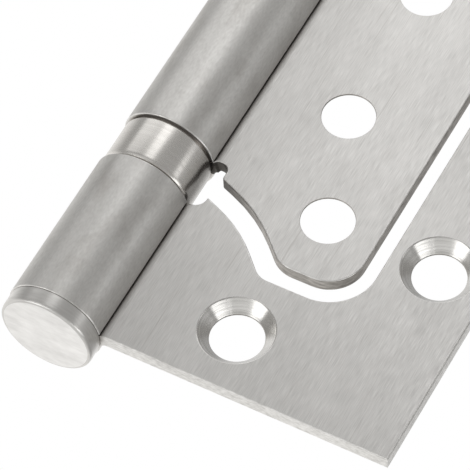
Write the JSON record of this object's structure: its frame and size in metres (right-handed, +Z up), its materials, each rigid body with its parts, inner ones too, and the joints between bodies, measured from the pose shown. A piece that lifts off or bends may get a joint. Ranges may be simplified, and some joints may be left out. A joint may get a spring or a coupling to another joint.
{
  "type": "door hinge",
  "caption": "Flush nested-leaf butt hinge with ball bearings that hangs a light interior door without a mortise.",
  "frame": {"origin": "on the pin's axis, at mid-height, with the hinge closed", "axes": "+Z up the pin, +X from the pin to the free edge of the leaves, +Y to the frame side; the door is on the -Y side"},
  "size_m": [0.0482, 0.012, 0.1042],
  "materials": {
    "brushed_stainless": "satin, brushed along the pin",
    "satin_stainless": "fine satin with a bright rim",
    "polished_stainless": "polished",
    "turned_steel": "turned, lightly oiled",
    "ball_steel": "mirror",
    "nylon": "natural moulded nylon"
  },
  "bodies": {
    "frame_leaf": {"frame_leaf": "brushed_stainless", "hinge_pin": "turned_steel", "bottom_cap": "satin_stainless", "top_cap": "satin_stainless", "bottom_bush": "nylon", "top_bush": "nylon", "lower_bearing_frame_race": "turned_steel", "lower_bearing_shell": "polished_stainless", "upper_bearing_frame_race": "turned_steel", "upper_bearing_shell": "polished_stainless"},
    "door_leaf": {"door_leaf": "brushed_stainless", "lower_middle_bush": "nylon", "upper_middle_bush": "nylon", "lower_bearing_door_race": "turned_steel", "upper_bearing_door_race": "turned_steel"},
    "lower_ball_set": {"lower_bearing_balls": "ball_steel", "lower_bearing_cage": "nylon"},
    "upper_ball_set": {"upper_bearing_balls": "ball_steel", "upper_bearing_cage": "nylon"}
  },
  "joints": [
    {"name": "door_swing", "type": "hinge", "parent": "frame_leaf", "child": "door_leaf", "pos_m": [0, 0, 0], "axis": [0, 0, -1], "range_deg": [0, 180]},
    {"name": "lower_ball_roll", "type": "hinge", "parent": "frame_leaf", "child": "lower_ball_set", "pos_m": [0, 0, 0], "axis": [0, 0, -1], "range_deg": [0, 90]},
    {"name": "upper_ball_roll", "type": "hinge", "parent": "frame_leaf", "child": "upper_ball_set", "pos_m": [0, 0, 0], "axis": [0, 0, -1], "range_deg": [0, 90]}
  ],
  "couplings": [
    {"joint": "lower_ball_roll", "follows": "door_swing", "ratio": 0.5},
    {"joint": "upper_ball_roll", "follows": "door_swing", "ratio": 0.5}
  ]
}
